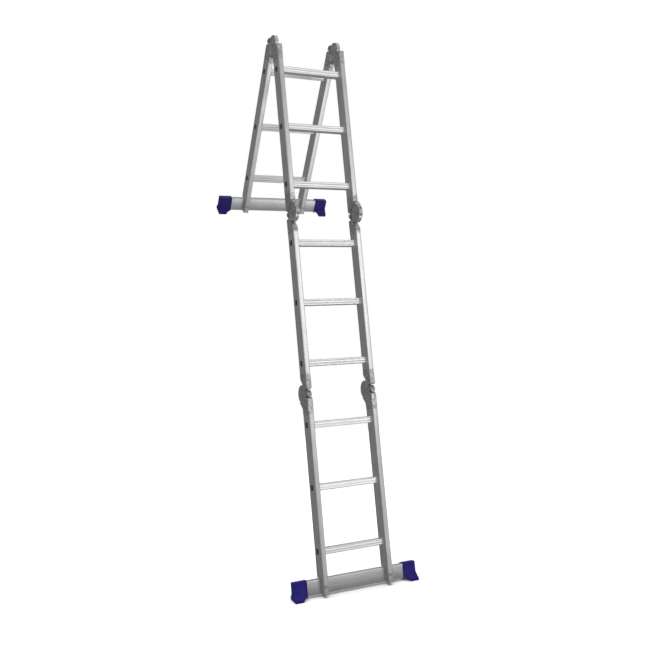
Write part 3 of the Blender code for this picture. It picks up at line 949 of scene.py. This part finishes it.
def lever_look(hinge):
    """The release lever: a stem in its guide and a rounded thumb piece with grip ridges."""
    node = f"{hinge.name}_lever"
    low, high = local_box(node)
    low -= hinge.centre
    high -= hinge.centre
    reach = max(abs(low.y), abs(high.y))
    nose = min(abs(low.y), abs(high.y))
    drop = max(-hinge.cheek_up * low.z, -hinge.cheek_up * high.z)
    back = reach - STEM_SET_BACK
    stem = (
        (nose, STEM_LOW), (back, STEM_LOW), (back, STEM_TOP), (nose + STEM_CHAMFER, STEM_TOP),
        (nose, STEM_CHAMFER),
    )
    bm = bmesh.new()
    prism(bm, hinge.points(stem, hinge.cheek_up), -LEVER_WIDE / 2, LEVER_WIDE / 2, STEM_EDGE)
    inner = nose + ROUNDING_SPARE
    foot = THUMB_SPARE - drop
    crown = (reach - THUMB_SPARE, THUMB_SLOPE - drop)
    head = [(inner, THUMB_INNER_TOP), (inner, foot), (inner + THUMB_BASE_WIDE, foot)]
    head += rounded_corner(head[-1], crown, (reach, 0.0), THUMB_CORNER)
    for step in range(3):
        middle = THUMB_SLOPE - drop + RIDGE_START + RIDGE_PITCH * step
        head += [(reach, middle - RIDGE_HALF), (reach - RIDGE_DEEP, middle), (reach, middle + RIDGE_HALF)]
    head += [(reach, THUMB_OUTER_TOP - ROUNDING_SPARE), (reach - 2 * ROUNDING_SPARE, THUMB_OUTER_TOP)]
    prism(bm, hinge.points(head, hinge.cheek_up), -THUMB_WIDE / 2, THUMB_WIDE / 2, THUMB_EDGE)
    return hinge.settle(make_object(f"{node}_look", bm, [DARK_STEEL]), node, "lever_steel")


# ---------------------------------------------------------------- feet
class Foot:
    """One boot's place and outline sizes, read from its CAD node and from the bar in it."""

    def __init__(self, word, side):
        self.node = f"{word}_foot_{side}"
        low, high = local_box(self.node)
        bar_low, bar_high = local_box(f"{word}_bar")
        self.middle = (bar_low + bar_high) / 2
        self.sign = SIDES[side]
        self.away = -1 if word == "lower" else 1
        self.bar_half_y = (bar_high.y - bar_low.y) / 2
        self.bar_half_z = (bar_high.z - bar_low.z) / 2
        self.bar_end = bar_high.x
        self.mouth, outer = sorted((abs(low.x), abs(high.x)))
        self.sole_outer = outer - SOLE_SPARE
        self.sole_inner = self.mouth + SOLE_INSET
        fronts = (self.away * (self.middle.y - low.y), self.away * (self.middle.y - high.y))
        self.sole_front, self.sole_rear = sorted(fronts)
        # the sole is level in the setting at rest, so it slopes against the stiles
        self.slope = math.tan(-math.atan2(PLACES[1][2][1], PLACES[1][2][2]))
        depth = high.z if self.away > 0 else low.z
        reach = max(abs(self.sole_front), abs(self.sole_rear))
        self.sole = abs(depth - self.middle.z) - self.slope * reach

    def point(self, x, y, drop, tilt=1.0):
        """A place x along the bar, y to the foot's rear and drop below the bar's middle."""
        fall = tilt * self.slope * -y
        return (self.sign * x, self.middle.y - self.away * y, self.middle.z + self.away * (drop + fall))

    def levels(self):
        """(drop, inner and outer end, front, rear, share of the sole's slope) from top to sole."""
        sleeve = self.bar_half_y + FOOT_WALL
        sleeve_outer = self.mouth + SLEEVE_LONG
        top = -(self.bar_half_z + FOOT_WALL)
        knee = self.bar_half_z - KNEE_RISE
        spread = self.bar_half_z - SPREAD_RISE
        sole = self.sole
        inner, outer, front, rear = self.sole_inner, self.sole_outer, self.sole_front, self.sole_rear
        slim = SLEEVE_ROUND
        cut = SOLE_GROOVE
        return (
            (top, self.mouth + slim, sleeve_outer - slim, slim - sleeve, sleeve - slim, 0.0),
            (top + slim, self.mouth, sleeve_outer, -sleeve, sleeve, 0.0),
            (knee, self.mouth, sleeve_outer, -sleeve, sleeve, 0.0),
            (knee + 0.006, self.mouth + 0.0010, sleeve_outer + 0.0012, -sleeve - 0.003, sleeve + 0.0004, 0.1),
            (spread, self.mouth + 0.006, outer, front * 0.72, rear, 0.5),
            (sole - 0.0105, inner - 0.0030, outer + 0.0010, front, rear, 1.0),
            (sole - 0.0095, inner - 0.0018, outer, front + cut, rear - cut, 1.0),
            (sole - 0.0080, inner - 0.0018, outer, front + cut, rear - cut, 1.0),
            (sole - 0.0070, inner - 0.0010, outer + 0.0006, front, rear, 1.0),
            (sole - 0.0012, inner, outer, front, rear, 1.0),
            (sole, inner + slim, outer - slim, front + slim, rear - slim, 1.0),
        )

    def skin_rings(self):
        rings = []
        for drop, inner, outer, front, rear, tilt in self.levels():
            shape = tube_profile((outer - inner) / 2, (rear - front) / 2, FOOT_WALL + 0.001)
            x = (inner + outer) / 2
            y = (front + rear) / 2
            rings.append([self.point(x + a, y + b, drop, tilt) for a, b in shape])
        return rings

    def pocket_cutter(self):
        """The hollow that the bar's end sits in, open at the mouth."""
        ring = tube_profile(self.bar_half_y + GAP, self.bar_half_z + GAP, TUBE_RADIUS)
        ends = (self.sign * (self.mouth - BEYOND_END), self.sign * (self.bar_end + GAP))
        return cutter(skin, [[(x, self.middle.y + a, self.middle.z + b) for a, b in ring] for x in ends])

    def tread_cutters(self):
        """Shallow slots across the sole."""
        cutters = []
        top = self.sole - TREAD_DEEP
        below = self.sole + TREAD_BELOW
        x = self.sole_inner + TREAD_FIRST
        while x < self.sole_outer - TREAD_LAST:
            corners = ((-TREAD_SPAN, top), (TREAD_SPAN, top), (TREAD_SPAN, below), (-TREAD_SPAN, below))
            outline = [self.point(x, y, drop)[1:] for y, drop in corners]
            cutters.append(cutter(prism, outline, self.sign * x, self.sign * (x + TREAD_WIDE)))
            x += TREAD_PITCH
        return cutters


def foot_look(word, side):
    """A moulded boot: collar at the mouth, sleeve, spread and a ribbed level sole."""
    foot = Foot(word, side)
    bm = bmesh.new()
    skin(bm, foot.skin_rings())
    item = make_object(f"{foot.node}_look", bm, [PLASTIC])
    carve(item, [foot.pocket_cutter()] + foot.tread_cutters())
    extra = bmesh.new()
    add_collar(extra, foot)
    add_shells(item, extra)
    return settle(item, foot.node)


def add_collar(bm, foot):
    """A raised rim round the mouth of a boot."""
    out = FOOT_WALL + COLLAR_PROUD
    mouth = foot.mouth
    stations = (
        (mouth, GAP * 2), (mouth, out - COLLAR_ROUND), (mouth + COLLAR_ROUND, out),
        (mouth + COLLAR_WIDE - COLLAR_ROUND, out), (mouth + COLLAR_WIDE, FOOT_WALL),
        (mouth + COLLAR_WIDE, GAP * 2),
    )
    rings = []
    for x, grow in stations:
        shape = tube_profile(foot.bar_half_y + grow, foot.bar_half_z + grow, TUBE_RADIUS)
        rings.append([(foot.sign * x, foot.middle.y + a, foot.middle.z + b) for a, b in shape])
    skin(bm, rings, closed=True)


# ---------------------------------------------------------------- stage, light and camera
CAMERA_FROM_RUNG = Vector((-1.6117, -3.1480, 1.3082))
CAMERA_YAW = -25.068
CAMERA_PITCH = -4.896
CAMERA_LENS = 44.35
SOFTBOXES = (
    ("key", (4.9, -10.15, 3.95), (6.0, 4.7), 158.0),
    ("fill", (-3.8, -2.6, 1.0), (2.0, 2.4), 6.0),
    ("back", (2.8, 3.0, 1.6), (2.4, 2.4), 12.0),
    ("top", (0.0, 0.0, 3.2), (4.5, 4.5), 30.0),
)
FLOOR_HALF = 2.4
FLOOR_DROP = 0.0005
FLOOR_LIGHT = 3.4
FLOOR_LIGHT_SPREAD = 100.0
BOUNCE_PLACE = (1.3, -2.4, 0.01)
BOUNCE_SIZE = (2.4, 2.4)
BOUNCE_POWER = 23.0


def add_camera():
    data = bpy.data.cameras.new("camera")
    data.sensor_width = 36.0
    data.lens = CAMERA_LENS
    data.clip_end = 60.0
    camera = bpy.data.objects.new("camera", data)
    camera.location = centre_of("s1_rung_1") + CAMERA_FROM_RUNG
    camera.rotation_euler = (math.radians(90.0 + CAMERA_PITCH), 0.0, math.radians(CAMERA_YAW))
    bpy.context.scene.collection.objects.link(camera)
    bpy.context.scene.camera = camera


def add_panel(name, place, turn, size, power):
    """A rectangular light that shines from its place along the turn's -Z."""
    data = bpy.data.lights.new(name, "AREA")
    data.shape = "RECTANGLE"
    data.size, data.size_y = size
    data.energy = power
    light = bpy.data.objects.new(name, data)
    light.location = place
    light.rotation_euler = turn
    bpy.context.scene.collection.objects.link(light)
    return light


def add_softboxes():
    """Soft panels round the ladder, each turned to its middle."""
    low, high = cad_box
    middle = (low + high) / 2
    for name, offset, size, power in SOFTBOXES:
        place = middle + Vector(offset)
        turn = (middle - place).to_track_quat("-Z", "Y").to_euler()
        add_panel(name, place, turn, size, power)


def add_bounce_card():
    """A bright patch on the floor before the ladder, seen only by what it lights and is mirrored in."""
    card = add_panel("bounce", BOUNCE_PLACE, (math.pi, 0.0, 0.0), BOUNCE_SIZE, BOUNCE_POWER)
    card.visible_camera = False


def add_floor_light():
    """An even light from above that whitens the floor and stays out of reflections."""
    data = bpy.data.lights.new("floor_light", "SUN")
    data.energy = FLOOR_LIGHT
    data.angle = math.radians(FLOOR_LIGHT_SPREAD)
    light = bpy.data.objects.new("floor_light", data)
    light.visible_glossy = False
    bpy.context.scene.collection.objects.link(light)


def add_floor():
    bm = bmesh.new()
    square = ((-1, -1), (1, -1), (1, 1), (-1, 1))
    bm.faces.new([bm.verts.new((x * FLOOR_HALF, y * FLOOR_HALF, -FLOOR_DROP)) for x, y in square])
    material, _, shader = new_material("floor_pale")
    shader.inputs["Base Color"].default_value = (0.94, 0.94, 0.94, 1.0)
    shader.inputs["Roughness"].default_value = 0.9
    floor = make_object("floor", bm, [material])
    floor.visible_glossy = False


def add_world():
    """An even white sky to look at, and a calmer grey one for light and reflections."""
    world = bpy.data.worlds.new("studio")
    bpy.context.scene.world = world
    world.use_nodes = True
    tree = world.node_tree
    sky = tree.nodes["Background"]
    sky.inputs["Color"].default_value = (0.20, 0.20, 0.205, 1.0)
    seen = tree.nodes.new("ShaderNodeBackground")
    seen.inputs["Color"].default_value = (1.0, 1.0, 1.0, 1.0)
    path = tree.nodes.new("ShaderNodeLightPath")
    mix = tree.nodes.new("ShaderNodeMixShader")
    tree.links.new(path.outputs["Is Camera Ray"], mix.inputs["Fac"])
    tree.links.new(sky.outputs["Background"], mix.inputs[1])
    tree.links.new(seen.outputs["Background"], mix.inputs[2])
    tree.links.new(mix.outputs["Shader"], tree.nodes["World Output"].inputs["Surface"])


def add_studio():
    add_world()
    add_floor()
    add_softboxes()
    add_bounce_card()
    add_floor_light()
    bpy.context.scene.view_settings.view_transform = "Standard"


# ---------------------------------------------------------------- assembly
def build_ladder():
    for number in (1, 2, 3, 4):
        for word in SIDES:
            stile_look(number, word)
        for step in (1, 2, 3):
            rung_look(number, step)
    for letter in CHEEK_SECTIONS:
        for word in SIDES:
            hinge = Hinge(letter, word)
            cheeks_look(hinge)
            tongue_look(hinge)
            pin_look(hinge)
            lever_look(hinge)
    for word in ("lower", "upper"):
        bar_look(word)
        for side in SIDES:
            stile_end_look(word, side)
            bolt_look(word, side)
            foot_look(word, side)


build_ladder()
add_camera()
add_studio()
